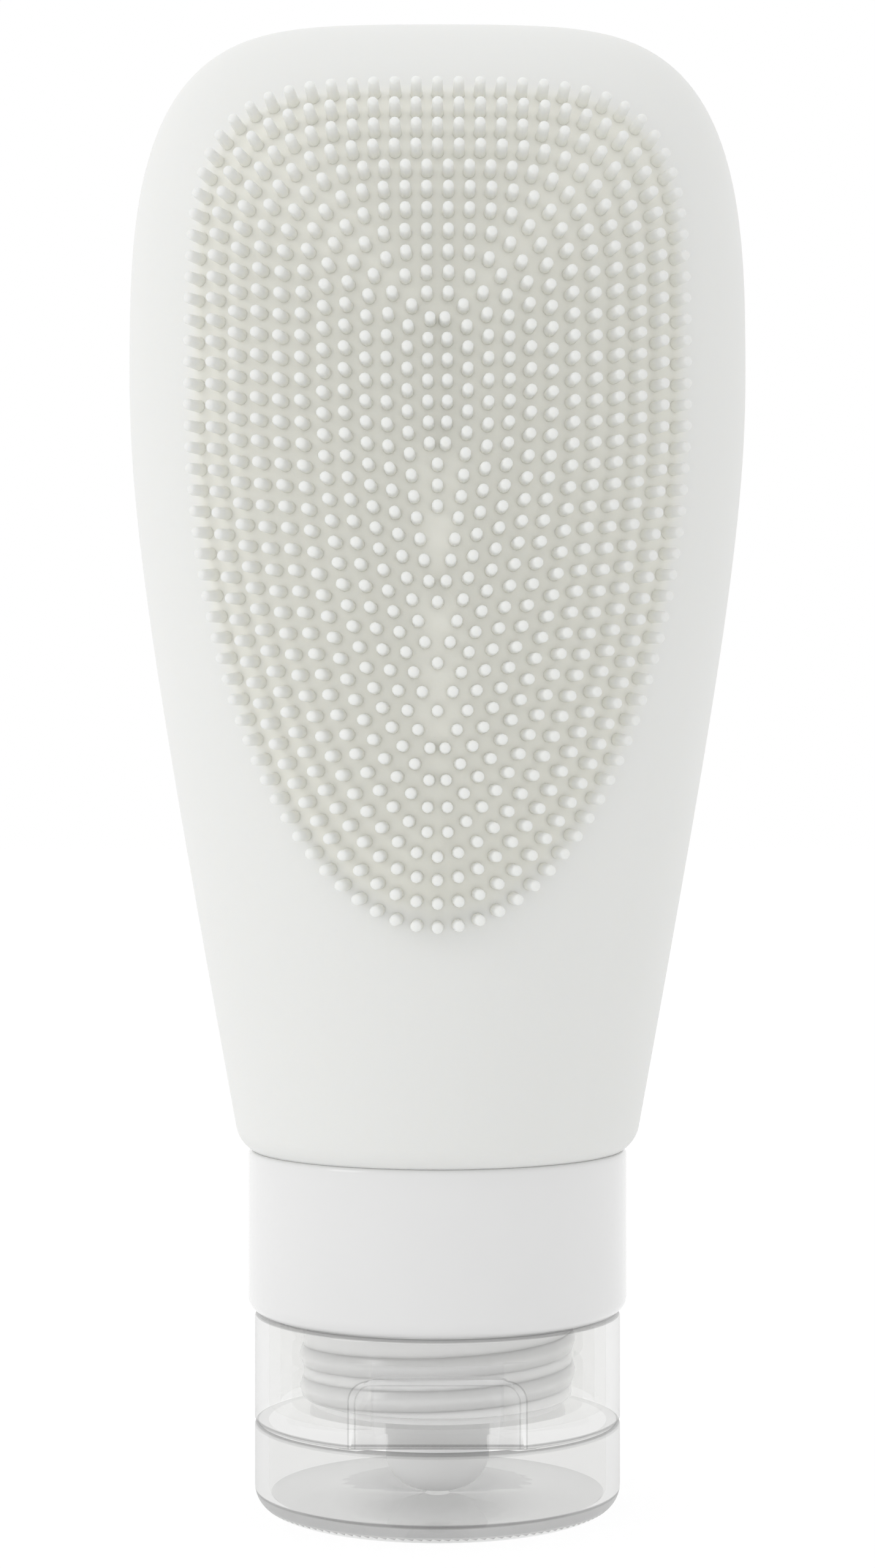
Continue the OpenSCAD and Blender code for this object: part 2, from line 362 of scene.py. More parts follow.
def bristle_feet(pitch, length):
    """Where every bristle leaves the skin, as (x, z)."""
    feet = []
    for k in range(RING_COUNT):
        for x, z in ring_spots(k, pitch):
            for side in ((0.0,) if x < SEAM else (-1.0, 1.0)):
                feet.append(foot_of((side * x, z), length))
    return feet


def field_share(x, y, z):
    """1 inside the bristled field, 0 outside, with a soft edge."""
    if y >= 0.0:
        return 0.0
    if z >= FIELD_Z:
        r = (abs(x) / FIELD_HALF_WIDTH) ** FIELD_POWER + ((z - FIELD_Z) / FIELD_UP) ** FIELD_POWER
        r = r ** (1.0 / FIELD_POWER)
    else:
        r = math.hypot(x / FIELD_HALF_WIDTH, (FIELD_Z - z) / FIELD_DOWN)
    return 1.0 - eased((r - 0.95) * FIELD_HALF_WIDTH / FIELD_FADE)


# Mesh helpers


def finished(name, bm, body, node, material, angle):
    """Turns a bmesh in millimetres into a finished piece that rides on a body and stands for a CAD node."""
    bmesh.ops.scale(bm, vec=(MM, MM, MM), verts=bm.verts)
    mesh = bpy.data.meshes.new(name)
    bm.to_mesh(mesh)
    bm.free()
    piece = bpy.data.objects.new(name, mesh)
    bpy.context.scene.collection.objects.link(piece)
    mesh.shade_smooth()
    mesh.set_sharp_from_angle(angle=math.radians(angle))
    mesh.materials.append(material)
    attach(piece, body)
    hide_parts(node)


def extruded(bm, edges):
    """Extrudes a ring of edges, and gives the new ring's vertices and edges, still in the old place."""
    made = bmesh.ops.extrude_edge_only(bm, edges=edges)["geom"]
    verts = [part for part in made if isinstance(part, bmesh.types.BMVert)]
    new = set(verts)
    ring = [part for part in made if isinstance(part, bmesh.types.BMEdge) and new.issuperset(part.verts)]
    return verts, ring


def spun(bm, outline, steps):
    """Spins a closed outline of (radius, height) points round the axis."""
    made = bmesh.ops.create_vert(bm, co=(outline[0][0], 0.0, outline[0][1]))
    last = made["vert"][0]
    first, edges, verts = last, [], [last]
    for r, z in outline[1:]:
        v = bmesh.ops.create_vert(bm, co=(r, 0.0, z))["vert"][0]
        edges.append(bm.edges.new((last, v)))
        verts.append(v)
        last = v
    edges.append(bm.edges.new((last, first)))
    bmesh.ops.spin(
        bm, geom=verts + edges, cent=(0, 0, 0), axis=(0, 0, 1), angle=math.tau, steps=steps, use_merge=True,
        use_duplicate=False,
    )
    bmesh.ops.remove_doubles(bm, verts=bm.verts, dist=1e-4)
    bmesh.ops.recalc_face_normals(bm, faces=bm.faces)


def arc(cx, cz, r, start, stop, count):
    """Points on an arc in the outline's plane, angles in degrees from the outward direction."""
    return [
        (cx + r * math.cos(math.radians(start + (stop - start) * i / count)),
         cz + r * math.sin(math.radians(start + (stop - start) * i / count)))
        for i in range(count + 1)
    ]


def clear_masks(face):
    """The masks of a clear piece's face: 1 on the outer faces and the lid's floor, which take the tint and
    the painted shade, less on the plug and the rims; and 1 where it mirrors the room.
    """
    x, y, z = face.calc_center_median()
    radius = math.hypot(x, y)
    outward = face.normal.x * x + face.normal.y * y > 0.3 * radius
    flat = abs(face.normal.z) > 0.7
    past_skirt = radius >= SKIRT_RADIUS + 0.65
    in_wall = CAP_RADIUS - CAP_WALL / 2
    on_wall = outward and in_wall < radius < CAP_RADIUS + 0.1
    in_recess = (
        y < RECESS_Y and abs(x) < RECESS_HALF_WIDTH + 0.7 and PARTING + 0.1 < z < RECESS_TOP + 1.3
        and radius < CAP_RADIUS - 0.05
    )
    on_floor = flat and z < LID_FLOOR + 0.25 and radius < in_wall - 0.2
    on_deck = flat and not past_skirt and PARTING - 0.1 < z < PARTING + 2.1
    on_rim = flat and past_skirt and PARTING - 0.2 < z < PARTING + 0.3
    on_ledge = on_rim and y < RECESS_Y - 0.4 and abs(x) < RECESS_HALF_WIDTH + 0.5
    on_top = flat and past_skirt and z > CAP_TOP - 0.5
    on_corner = z < LID_FLOOR - 0.3 and radius > SKIRT_RADIUS + 0.05 and face.normal.z < 0.1
    on_plug = radius < 2.0 and LID_FLOOR + 0.1 < z < LID_FLOOR + 1.8
    on_skirt = outward and SKIRT_RADIUS - 1.35 < radius < SKIRT_RADIUS + 0.45 and z > PARTING + 1.7
    # Faces that take the tint and the painted shade of the clear plastic
    takes_painted_shade = on_wall or in_recess or on_floor or on_ledge or on_top or on_corner
    mirrors = in_recess or on_floor or on_deck
    outside = 1.0 if takes_painted_shade else 0.5 if on_plug else 0.3 if on_rim else 0.0
    gloss = 1.0 if mirrors else 0.5 if radius > in_wall else 0.2 if on_skirt else 0.0
    return outside, gloss


def merged_copy(node, name, body, material):
    """A welded, smooth copy of a clear CAD node, with the masks "outside" and "gloss" on its faces."""
    bm = bmesh.new()
    bm.from_mesh(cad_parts[node].data)
    bmesh.ops.scale(bm, vec=(1 / MM, 1 / MM, 1 / MM), verts=bm.verts)
    bmesh.ops.remove_doubles(bm, verts=bm.verts, dist=1e-3)
    bm.normal_update()
    outside = bm.faces.layers.float.new("outside")
    gloss = bm.faces.layers.float.new("gloss")
    for face in bm.faces:
        face[outside], face[gloss] = clear_masks(face)
    finished(name, bm, body, node, material, 30.0)


# Materials

# The places across the bottle between which the painted highlight on the bristles' ends grows, to its full
# strength near the middle where the ends face the front light
HIGHLIGHT_FROM = 21.0
HIGHLIGHT_TO = 11.0
# What the clear plastic takes away inside, where no hand can touch it
CLEAR_INSIDE = (0.99, 0.99, 0.985)
# Painted greys of the clear pieces, by height above the ground: painted shade where rims, grooves and floors
# are seen edge on, paler lines between dark ones for the highlights on those edges, and on the lid the
# painted shadow under its floor
RAMP_REACH = 20.0
CAP_PAINTED_SHADE = (
    (8.3, 0.18), (8.42, 0.22), (8.48, 0.75), (8.58, 0.75), (8.66, 0.3), (8.8, 0.35), (8.9, 1.0), (18.3, 1.0),
    (18.38, 0.35),
)
LID_PAINTED_SHADE = (
    (0.0, 0.34), (0.5, 0.30), (0.6, 0.45), (0.72, 0.45), (0.82, 0.32), (1.75, 0.35), (1.83, 0.2), (2.0, 0.22),
    (2.1, 0.88), (7.9, 0.88), (8.0, 0.6), (8.1, 0.65), (8.18, 0.28), (8.3, 0.28),
)
# Share of the painted grey on the lid's floor, by distance from the spout: a painted shadow and reflection of
# the spout
SPOUT_PAINTED_SHADE = ((0.0, 0.88), (3.5, 0.88), (10.0, 0.4))
# Painted greys by distance from the outline of the thumb recess: painted dark lines for the refraction at its
# edges, and painted light above 1 on the sliver inside the edge and over the whole recess
LINE_REACH = 1.0
RECESS_PAINTED_LINES = (
    (-1.0, 1.14), (-0.66, 1.14), (-0.6, 0.8), (-0.52, 0.8), (-0.46, 1.2), (-0.06, 1.2), (0.0, 0.6),
    (0.08, 0.6), (0.14, 1.0),
)


def fresh_material(name):
    """A new material, its tree and its Principled shader."""
    material = bpy.data.materials.new(name)
    material.use_nodes = True
    tree = material.node_tree
    return material, tree, tree.nodes["Principled BSDF"]


def set_inputs(node, values):
    """Sets a node's own sockets by name."""
    for name, value in values.items():
        node.inputs[name].default_value = value


def fine_grain_group():
    """A shared group: fine moulded grain as a height, and slow cloudiness as a mask."""
    group = bpy.data.node_groups.get("Moulded grain")
    if group:
        return group
    group = bpy.data.node_groups.new("Moulded grain", "ShaderNodeTree")
    face = group.interface
    face.new_socket("Grain scale", in_out="INPUT", socket_type="NodeSocketFloat").default_value = 9000.0
    face.new_socket("Cloud scale", in_out="INPUT", socket_type="NodeSocketFloat").default_value = 90.0
    face.new_socket("Height", in_out="OUTPUT", socket_type="NodeSocketFloat")
    face.new_socket("Cloud", in_out="OUTPUT", socket_type="NodeSocketFloat")
    enter = group.nodes.new("NodeGroupInput")
    leave = group.nodes.new("NodeGroupOutput")
    coords = group.nodes.new("ShaderNodeTexCoord")
    grain = group.nodes.new("ShaderNodeTexNoise")
    cloud = group.nodes.new("ShaderNodeTexNoise")
    grain.inputs["Detail"].default_value = 2.0
    cloud.inputs["Detail"].default_value = 2.0
    link = group.links.new
    link(coords.outputs["Object"], grain.inputs["Vector"])
    link(coords.outputs["Object"], cloud.inputs["Vector"])
    link(enter.outputs["Grain scale"], grain.inputs["Scale"])
    link(enter.outputs["Cloud scale"], cloud.inputs["Scale"])
    link(grain.outputs["Fac"], leave.inputs["Height"])
    link(cloud.outputs["Fac"], leave.inputs["Cloud"])
    return group


def place_grain(tree, grain_scale, cloud_scale):
    """The shared grain in a material; both scales are in waves to the metre."""
    node = tree.nodes.new("ShaderNodeGroup")
    node.node_tree = fine_grain_group()
    set_inputs(node, {"Grain scale": grain_scale, "Cloud scale": cloud_scale})
    return node


def add_bump(tree, shader, height, strength, distance):
    """Bends the shader's normal by a height."""
    bump = tree.nodes.new("ShaderNodeBump")
    set_inputs(bump, {"Strength": strength, "Distance": distance})
    tree.links.new(height, bump.inputs["Height"])
    tree.links.new(bump.outputs["Normal"], shader.inputs["Normal"])


def mapped(tree, value, source, target):
    """Maps one range of a value to another."""
    node = tree.nodes.new("ShaderNodeMapRange")
    set_inputs(node, {"From Min": source[0], "From Max": source[1], "To Min": target[0], "To Max": target[1]})
    tree.links.new(value, node.inputs["Value"])
    return node.outputs["Result"]


def drifting(tree, grain, low, high):
    """A value that drifts between two others with the slow cloudiness."""
    return mapped(tree, grain.outputs["Cloud"], (0.3, 0.7), (low, high))


def mask_of(tree, name):
    """A mask that the mesh carries."""
    mask = tree.nodes.new("ShaderNodeAttribute")
    mask.attribute_name = name
    return mask.outputs["Fac"]


def calculated(tree, operation, first, second=None):
    """A Math node on sockets or numbers."""
    node = tree.nodes.new("ShaderNodeMath")
    node.operation = operation
    for i, value in enumerate((first, second)):
        if value is None:
            continue
        if isinstance(value, (int, float)):
            node.inputs[i].default_value = value
        else:
            tree.links.new(value, node.inputs[i])
    return node.outputs[0]


def tinted(tree, colour, other, factor, blend="MIX"):
    """Mixes a second colour into the first one; each is a socket or a plain colour."""
    mix = tree.nodes.new("ShaderNodeMix")
    mix.data_type = "RGBA"
    mix.blend_type = blend
    for name, value in (("A", colour), ("B", other)):
        if isinstance(value, bpy.types.NodeSocket):
            tree.links.new(value, mix.inputs[name])
        else:
            mix.inputs[name].default_value = (*value, 1.0)
    tree.links.new(factor, mix.inputs["Factor"])
    return mix.outputs["Result"]


def object_place(tree):
    """The sockets of X, Y and Z on the piece."""
    coords = tree.nodes.new("ShaderNodeTexCoord")
    parts = tree.nodes.new("ShaderNodeSeparateXYZ")
    tree.links.new(coords.outputs["Object"], parts.inputs["Vector"])
    return parts.outputs["X"], parts.outputs["Y"], parts.outputs["Z"]


def length_of(tree, first, second):
    """The length of a way whose two square parts are given."""
    squares = [calculated(tree, "MULTIPLY", part, part) for part in (first, second)]
    return calculated(tree, "SQRT", calculated(tree, "ADD", *squares))


def grey_ramp(tree, place, stops):
    """Greys along a value, from (place from 0 to 1, grey) pairs."""
    ramp = tree.nodes.new("ShaderNodeValToRGB")
    elements = ramp.color_ramp.elements
    for i, (position, grey) in enumerate(stops):
        stop = elements[i] if i < 2 else elements.new(1.0)
        stop.position = position
        stop.color = (grey, grey, grey, 1.0)
    tree.links.new(place, ramp.inputs["Fac"])
    return ramp.outputs["Color"]


def greys_along(tree, distance, painted_bands):
    """Greys along a distance in metres, from (millimetres, grey) pairs within RAMP_REACH."""
    place = calculated(tree, "DIVIDE", distance, RAMP_REACH * MM)
    return grey_ramp(tree, place, [(far / RAMP_REACH, grey) for far, grey in painted_bands])


def silicone_material(settings):
    """Silicone with painted light: a lighter, warmer tone painted on the skin between the bristles for the
    soft shade there, and a painted highlight on the bristles' ends, strongest near the middle.
    """
    material, tree, shader = fresh_material("Silicone")
    grain = place_grain(tree, 5000.0, 60.0)
    between = mask_of(tree, "between")
    across = calculated(tree, "ABSOLUTE", object_place(tree)[0])
    # Painted highlight on the bristles' ends: faint at the sides, full near the middle
    end_highlight_share = mapped(tree, across, (HIGHLIGHT_FROM * MM, HIGHLIGHT_TO * MM), (-0.15, -1.0))
    colour = tinted(tree, settings.colour, settings.shade, between)
    colour = tinted(tree, colour, settings.bright, calculated(tree, "MULTIPLY", between, end_highlight_share))
    tree.links.new(colour, shader.inputs["Base Color"])
    tree.links.new(drifting(tree, grain, 0.40, 0.48), shader.inputs["Roughness"])
    add_bump(tree, shader, grain.outputs["Height"], 0.12, 0.0001)
    set_inputs(shader, {
        "Subsurface Weight": 0.2, "Subsurface Radius": (1.0, 0.9, 0.75), "Subsurface Scale": 0.0012,
        "IOR": 1.41,
    })
    return material


def white_material(name, colour, roughness, coat=0.0, depth=0.0):
    """White plastic or silicone whose tone drifts a little; light spreads in it by depth, in metres."""
    material, tree, shader = fresh_material(name)
    grain = place_grain(tree, 2500.0, 120.0)
    darker = [part * 0.975 for part in colour]
    tree.links.new(tinted(tree, colour, darker, grain.outputs["Cloud"]), shader.inputs["Base Color"])
    tree.links.new(drifting(tree, grain, roughness, roughness * 1.2), shader.inputs["Roughness"])
    add_bump(tree, shader, grain.outputs["Height"], 0.04, 0.0001)
    set_inputs(shader, {"IOR": 1.5, "Coat Weight": coat, "Coat Roughness": 0.05})
    if depth:
        set_inputs(shader, {
            "Subsurface Weight": 0.6, "Subsurface Radius": (1.0, 1.0, 1.0), "Subsurface Scale": depth,
        })
    return material


def painted_spout_shade(tree):
    """Painted shadow and reflection of the spout on the lid's floor only: the share of the floor's painted
    grey, by distance from the spout.
    """
    x, y, _ = object_place(tree)
    distance = length_of(tree, x, calculated(tree, "MULTIPLY", y, 0.5))
    on_floor = calculated(tree, "GREATER_THAN", mask_of(tree, "gloss"), 0.9)
    return tinted(tree, (1.0, 1.0, 1.0), greys_along(tree, distance, SPOUT_PAINTED_SHADE), on_floor)


def painted_recess_lines(tree):
    """Painted dark lines and painted light by the distance from the outline of the thumb recess, inside it
    less than 0.
    """
    x, y, z = object_place(tree)
    across = calculated(tree, "ABSOLUTE", x)
    across = calculated(tree, "SUBTRACT", across, (RECESS_HALF_WIDTH - RECESS_CORNER) * MM)
    up = calculated(tree, "SUBTRACT", z, (RECESS_TOP - RECESS_CORNER) * MM)
    outer = length_of(tree, calculated(tree, "MAXIMUM", across, 0.0), calculated(tree, "MAXIMUM", up, 0.0))
    inner = calculated(tree, "MINIMUM", calculated(tree, "MAXIMUM", across, up), 0.0)
    distance = calculated(tree, "ADD", outer, inner)
    place = calculated(tree, "ADD", distance, (LINE_REACH - RECESS_CORNER) * MM)
    place = calculated(tree, "DIVIDE", place, 2.0 * LINE_REACH * MM)
    greys = grey_ramp(tree, place, [((far / LINE_REACH + 1.0) / 2.0, grey) for far, grey in RECESS_PAINTED_LINES])
    in_front = calculated(tree, "LESS_THAN", y, (RECESS_Y + 0.3) * MM)
    return tinted(tree, (1.0, 1.0, 1.0), greys, in_front)


def clear_material(name, settings, painted_bands, recess=False, spout=False):
    """Clear plastic with painted shade: it greys towards its outline, in bands by height and, where asked,
    round the thumb recess and by the spout, and it lets the light reach what stands behind it.
    """
    material, tree, shader = fresh_material(name)
    grain = place_grain(tree, 1500.0, 80.0)
    add_bump(tree, shader, grain.outputs["Cloud"], 0.05, 0.0002)
    tree.links.new(drifting(tree, grain, 0.01, 0.03), shader.inputs["Roughness"])
    outside = mask_of(tree, "outside")
    layer = tree.nodes.new("ShaderNodeLayerWeight")
    layer.inputs["Blend"].default_value = 0.5
    behind = tree.nodes.new("ShaderNodeNewGeometry").outputs["Backfacing"]
    near = calculated(tree, "MULTIPLY", outside, calculated(tree, "SUBTRACT", 1.0, behind))
    if spout:
        # Painted shadow and reflection of the spout on the lid's floor
        near = calculated(tree, "MULTIPLY", near, painted_spout_shade(tree))
    steep = calculated(tree, "POWER", layer.outputs["Facing"], 6.0)
    colour = tinted(tree, CLEAR_INSIDE, settings.clear_colour, outside)
    # Painted shade towards the outline, on the near outer faces
    colour = tinted(tree, colour, settings.painted_outline_shade, calculated(tree, "MULTIPLY", steep, near))
    # Painted shade in bands by height: rims and grooves seen edge on, and the shadow under the lid's floor
    colour = tinted(tree, colour, greys_along(tree, object_place(tree)[2], painted_bands), near, "MULTIPLY")
    if recess:
        # Painted dark lines and painted light round the thumb recess
        colour = tinted(tree, colour, painted_recess_lines(tree), near, "MULTIPLY")
    tree.links.new(colour, shader.inputs["Base Color"])
    tree.links.new(mask_of(tree, "gloss"), shader.inputs["Coat Weight"])
    set_inputs(shader, {"Transmission Weight": 0.94, "IOR": 1.0, "Coat IOR": 1.7, "Coat Roughness": 0.03})
    path = tree.nodes.new("ShaderNodeLightPath")
    through = tree.nodes.new("ShaderNodeBsdfTransparent")
    share = tree.nodes.new("ShaderNodeMixShader")
    carries = calculated(tree, "MAXIMUM", path.outputs["Is Shadow Ray"], path.outputs["Is Diffuse Ray"])
    tree.links.new(carries, share.inputs["Fac"])
    tree.links.new(shader.outputs[0], share.inputs[1])
    tree.links.new(through.outputs[0], share.inputs[2])
    tree.links.new(share.outputs[0], tree.nodes["Material Output"].inputs["Surface"])
    return material


# Studio, in metres

FLOOR_HALF_WIDTH = 3.0
FLOOR_GAP = 0.00005
FLOOR_SEEN = (0.15, 0.15, 0.15)
FLOOR_GLOW = 0.87
LAMP_PLACE = (-0.5, -0.28, 0.34)
LAMP_TARGET = (0.0, 0.0, 0.06)
LAMP_SIZE = (0.22, 0.3)


# Operators


class TRAVELBOTTLE_OT_squeeze_body(bpy.types.Operator):
    """Build the silicone bottle with its bristles as one moulding"""

    bl_idname = "travelbottle.squeeze_body"
    bl_label = "Silicone bottle"

    def execute(self, context):
        settings = context.scene.bottle_skin
        bm = bmesh.new()
        between = bm.verts.layers.float.new("between")
        turn = bm.verts.layers.int.new("turn")
        self.skin(bm, settings.around, settings.wall / MM, turn)
        bm.verts.ensure_lookup_table()
        # The field's skin takes the painted tone between the bristles through the between mask
        for v in bm.verts:
            x, y, z = v.co
            on_outside = z > BODY_LOW and y < 0 and abs(y - front(x, z)) < OUTSIDE_WITHIN
            v[between] = field_share(x, y, z) if on_outside else 0.0
        self.bristles(bm, settings)
        bm.verts.layers.int.remove(bm.verts.layers.int["turn"])
        finished("squeeze_body", bm, "bottle", "bottle_body", silicone_material(settings), 80.0)
        return {"FINISHED"}

    def levels(self, wall):
        """The skin's rings from the outside of the crown, down to the mouth and up the inside."""
        angles = [CROWN_START + (90.0 - CROWN_START) * i / CROWN_RINGS for i in range(CROWN_RINGS)]
        outer = [ARCH_Z + (HEIGHT - ARCH_Z) * math.cos(math.radians(angle)) for angle in angles]
        outer += [ARCH_Z + (CORNER_Z - ARCH_Z) * i / SIDE_RINGS for i in range(SIDE_RINGS + 1)]
        last = math.asin((CORNER_Z - BODY_LOW) / LOW_ROUND)
        for i in range(1, CORNER_RINGS + 1):
            outer.append(CORNER_Z - LOW_ROUND * math.sin(last * i / CORNER_RINGS))
        rings = [(z, half_width(z), half_depth(z), roundness(z)) for z in outer]
        mouth = [(BODY_LOW, MOUTH_RADIUS), (MOUTH_LOW, MOUTH_RADIUS), (MOUTH_LOW, BORE_RADIUS)]
        for z in BARB_HEIGHTS:
            mouth += [(z, BORE_RADIUS), (z + BARB_EDGE, BORE_RADIUS + BARB_DEPTH)]
            mouth.append((z + BARB_LENGTH, BORE_RADIUS))
        mouth.append((BORE_TOP, BORE_RADIUS))
        rings += [(z, r, r, 2.0) for z, r in mouth]
        for i in range(1, INNER_RINGS + 1):
            z = INNER_LOW + (HEIGHT - wall - 1.6 - INNER_LOW) * math.sin(math.radians(90 * i / INNER_RINGS))
            rings.append((z, half_width(z) - wall, half_depth(z) - wall, roundness(z)))
        return rings

    def skin(self, bm, around, wall, turn):
        """Extrudes one ring from level to level and closes the crown outside and inside."""
        rings = self.levels(wall)

        def put(verts, ring):
            z, width, depth, power = ring
            for v in verts:
                angle = math.tau * v[turn] / around
                x = width * signed_power(math.cos(angle), 2.0 / power)
                v.co = (x, depth * signed_power(math.sin(angle), 2.0 / power), z)

        verts = bmesh.ops.create_circle(bm, segments=around, radius=1.0)["verts"]
        for i, v in enumerate(verts):
            v[turn] = i
        put(verts, rings[0])
        first, edges = verts, list(bm.edges)
        for ring in rings[1:]:
            verts, edges = extruded(bm, edges)
            put(verts, ring)
        for loop, crown in ((first, HEIGHT), (verts, HEIGHT - wall - 0.6)):
            rim = [e for e in bm.edges if e.is_boundary and set(loop).issuperset(e.verts)]
            face = bmesh.ops.contextual_create(bm, geom=rim)["faces"]
            centre = bmesh.ops.poke(bm, faces=face)["verts"][0]
            centre.co = (0.0, 0.0, crown)
        bmesh.ops.recalc_face_normals(bm, faces=bm.faces)

    def one_bristle(self, settings):
        """A bristle along z, foot sunk and end domed; the mask of painted light runs from 1 at the foot, the
        painted tone between the bristles, to -1 at the end, the painted highlight.
        """
        foot, end = settings.bristle_foot / MM, settings.bristle_end / MM
        length = settings.bristle_length / MM
        bm = bmesh.new()
        between = bm.verts.layers.float.new("between")
        verts = bmesh.ops.create_circle(bm, segments=settings.bristle_sides, radius=foot)["verts"]
        for v in verts:
            v.co.z = -FOOT_SUNK
            v[between] = 1.0
        edges = list(bm.edges)
        for r, z, shade in (
            (foot, 0.1, 1.0), (end, length - 0.62 * end, -0.6), (end * 0.86, length - 0.27 * end, -1.0),
            (end * 0.5, length - 0.05 * end, -1.0), (end * 0.12, length, -1.0),
        ):
            verts, edges = extruded(bm, edges)
            for v in verts:
                flat = Vector((v.co.x, v.co.y)).normalized() * r
                v.co = (flat.x, flat.y, z)
                v[between] = shade
        bmesh.ops.contextual_create(bm, geom=edges)
        bmesh.ops.recalc_face_normals(bm, faces=bm.faces)
        mesh = bpy.data.meshes.new("one_bristle")
        bm.to_mesh(mesh)
        bm.free()
        return mesh

    def bristles(self, bm, settings):
        """Adds a bristle at every foot, square to the skin."""
        bristle = self.one_bristle(settings)
        for x, z in bristle_feet(settings.bristle_pitch / MM, settings.bristle_length / MM):
            turned = out_way(x, z).to_track_quat("Z", "Y").to_matrix().to_4x4()
            place = Matrix.Translation((x, front(x, z), z)) @ turned
            bristle.transform(place)
            bm.from_mesh(bristle)
            bristle.transform(place.inverted())
        bpy.data.meshes.remove(bristle)


class TRAVELBOTTLE_OT_collar(bpy.types.Operator):
    """Build the white gloss collar round the mouth"""

    bl_idname = "travelbottle.collar"
    bl_label = "Collar"

    def execute(self, context):
        settings = context.scene.bottle_hard
        top_edge, bore_edge = 0.5, 0.15
        seat = COLLAR_LOW + LIP_THICKNESS
        outline = [(COLLAR_LIP, COLLAR_LOW)]
        outline += arc(COLLAR_RADIUS - COLLAR_ROUND, COLLAR_LOW + COLLAR_ROUND, COLLAR_ROUND, -90, 0, 12)
        outline += arc(COLLAR_RADIUS - top_edge, COLLAR_TOP - top_edge, top_edge, 0, 90, 8)
        outline += arc(COLLAR_BORE + bore_edge, COLLAR_TOP - bore_edge, bore_edge, 90, 180, 3)
        outline += [(COLLAR_BORE, seat), (COLLAR_LIP, seat)]
        bm = bmesh.new()
        spun(bm, outline, settings.steps)
        plastic = white_material("Collar plastic", settings.collar_colour, 0.16, coat=0.4)
        finished("collar_ring", bm, "bottle", "collar", plastic, 35.0)
        return {"FINISHED"}


class TRAVELBOTTLE_OT_neck(bpy.types.Operator):
    """Build the white neck with its right-handed thread"""

    bl_idname = "travelbottle.neck"
    bl_label = "Threaded neck"

    def execute(self, context):
        settings = context.scene.bottle_hard
        edge, hollow, bevel = 0.3, 0.6, 0.8
        outline = [(NECK_BORE, NECK_LOW)] + arc(NECK_RADIUS - edge, NECK_LOW + edge, edge, -90, 0, 4)
        outline += arc(NECK_RADIUS + hollow, FLANGE_LOW - hollow, -hollow, 0, -90, 5)
        outline += [(FLANGE_RADIUS, FLANGE_LOW), (FLANGE_RADIUS, FLANGE_TOP), (SPIGOT_RADIUS, FLANGE_TOP)]
        for z in BARB_HEIGHTS:
            outline += [(SPIGOT_RADIUS, z), (SPIGOT_RADIUS + BARB_DEPTH, z + BARB_EDGE)]
            outline += [(SPIGOT_RADIUS, z + BARB_LENGTH)]
        outline += [(SPIGOT_RADIUS, NECK_TOP - bevel), (SPIGOT_RADIUS - bevel, NECK_TOP)]
        outline.append((NECK_BORE, NECK_TOP))
        bm = bmesh.new()
        spun(bm, outline, settings.steps)
        self.thread(bm)
        plastic = white_material("Neck plastic", settings.neck_colour, 0.2, coat=0.8, depth=0.002)
        finished("neck_with_thread", bm, "bottle", "threaded_neck", plastic, 50.0)
        return {"FINISHED"}

    def thread(self, bm):
        """Sweeps a rounded ridge up the neck, running out at both ends."""
        start = math.radians(THREAD_START)
        low = THREAD_Z_AT_LEFT + THREAD_PITCH * (THREAD_START - 180.0) / 360.0
        rise = THREAD_PITCH * (THREAD_STOP - THREAD_START) / 360.0
        crest = NECK_RADIUS + THREAD_HEIGHT
        half = [
            (NECK_RADIUS - 0.25, 1.15), (NECK_RADIUS + 0.02, 0.95), (NECK_RADIUS + 0.12, 0.75),
            (crest - 0.1, 0.4), (crest, 0.15),
        ]
        section = [(r, -dz) for r, dz in half] + half[::-1]
        verts = [
            bmesh.ops.create_vert(bm, co=(r * math.cos(start), r * math.sin(start), low + dz))["vert"][0]
            for r, dz in section
        ]
        face = bmesh.ops.contextual_create(bm, geom=verts)["faces"]
        known = set(bm.verts) - set(verts)
        steps = round((THREAD_STOP - THREAD_START) / 3.0)
        bmesh.ops.spin(
            bm, geom=face, cent=(0, 0, 0), axis=(0, 0, 1), dvec=(0, 0, rise / steps),
            angle=math.radians(THREAD_STOP - THREAD_START), steps=steps, use_duplicate=False,
        )
        for v in set(bm.verts) - known:
            r = math.hypot(v.co.x, v.co.y)
            if r < NECK_RADIUS:
                continue
            turned = math.degrees(math.atan2(v.co.y, v.co.x))
            guess = THREAD_START + (v.co.z - low) / rise * (THREAD_STOP - THREAD_START)
            along = turned + 360.0 * round((guess - turned) / 360.0)
            share = eased(min(along - THREAD_START, THREAD_STOP - along) / THREAD_RUN_OUT)
            sunk = NECK_RADIUS - 0.2
            scale = (sunk + (r - sunk) * share) / r
            v.co.x *= scale
            v.co.y *= scale
        bmesh.ops.recalc_face_normals(bm, faces=bm.faces)


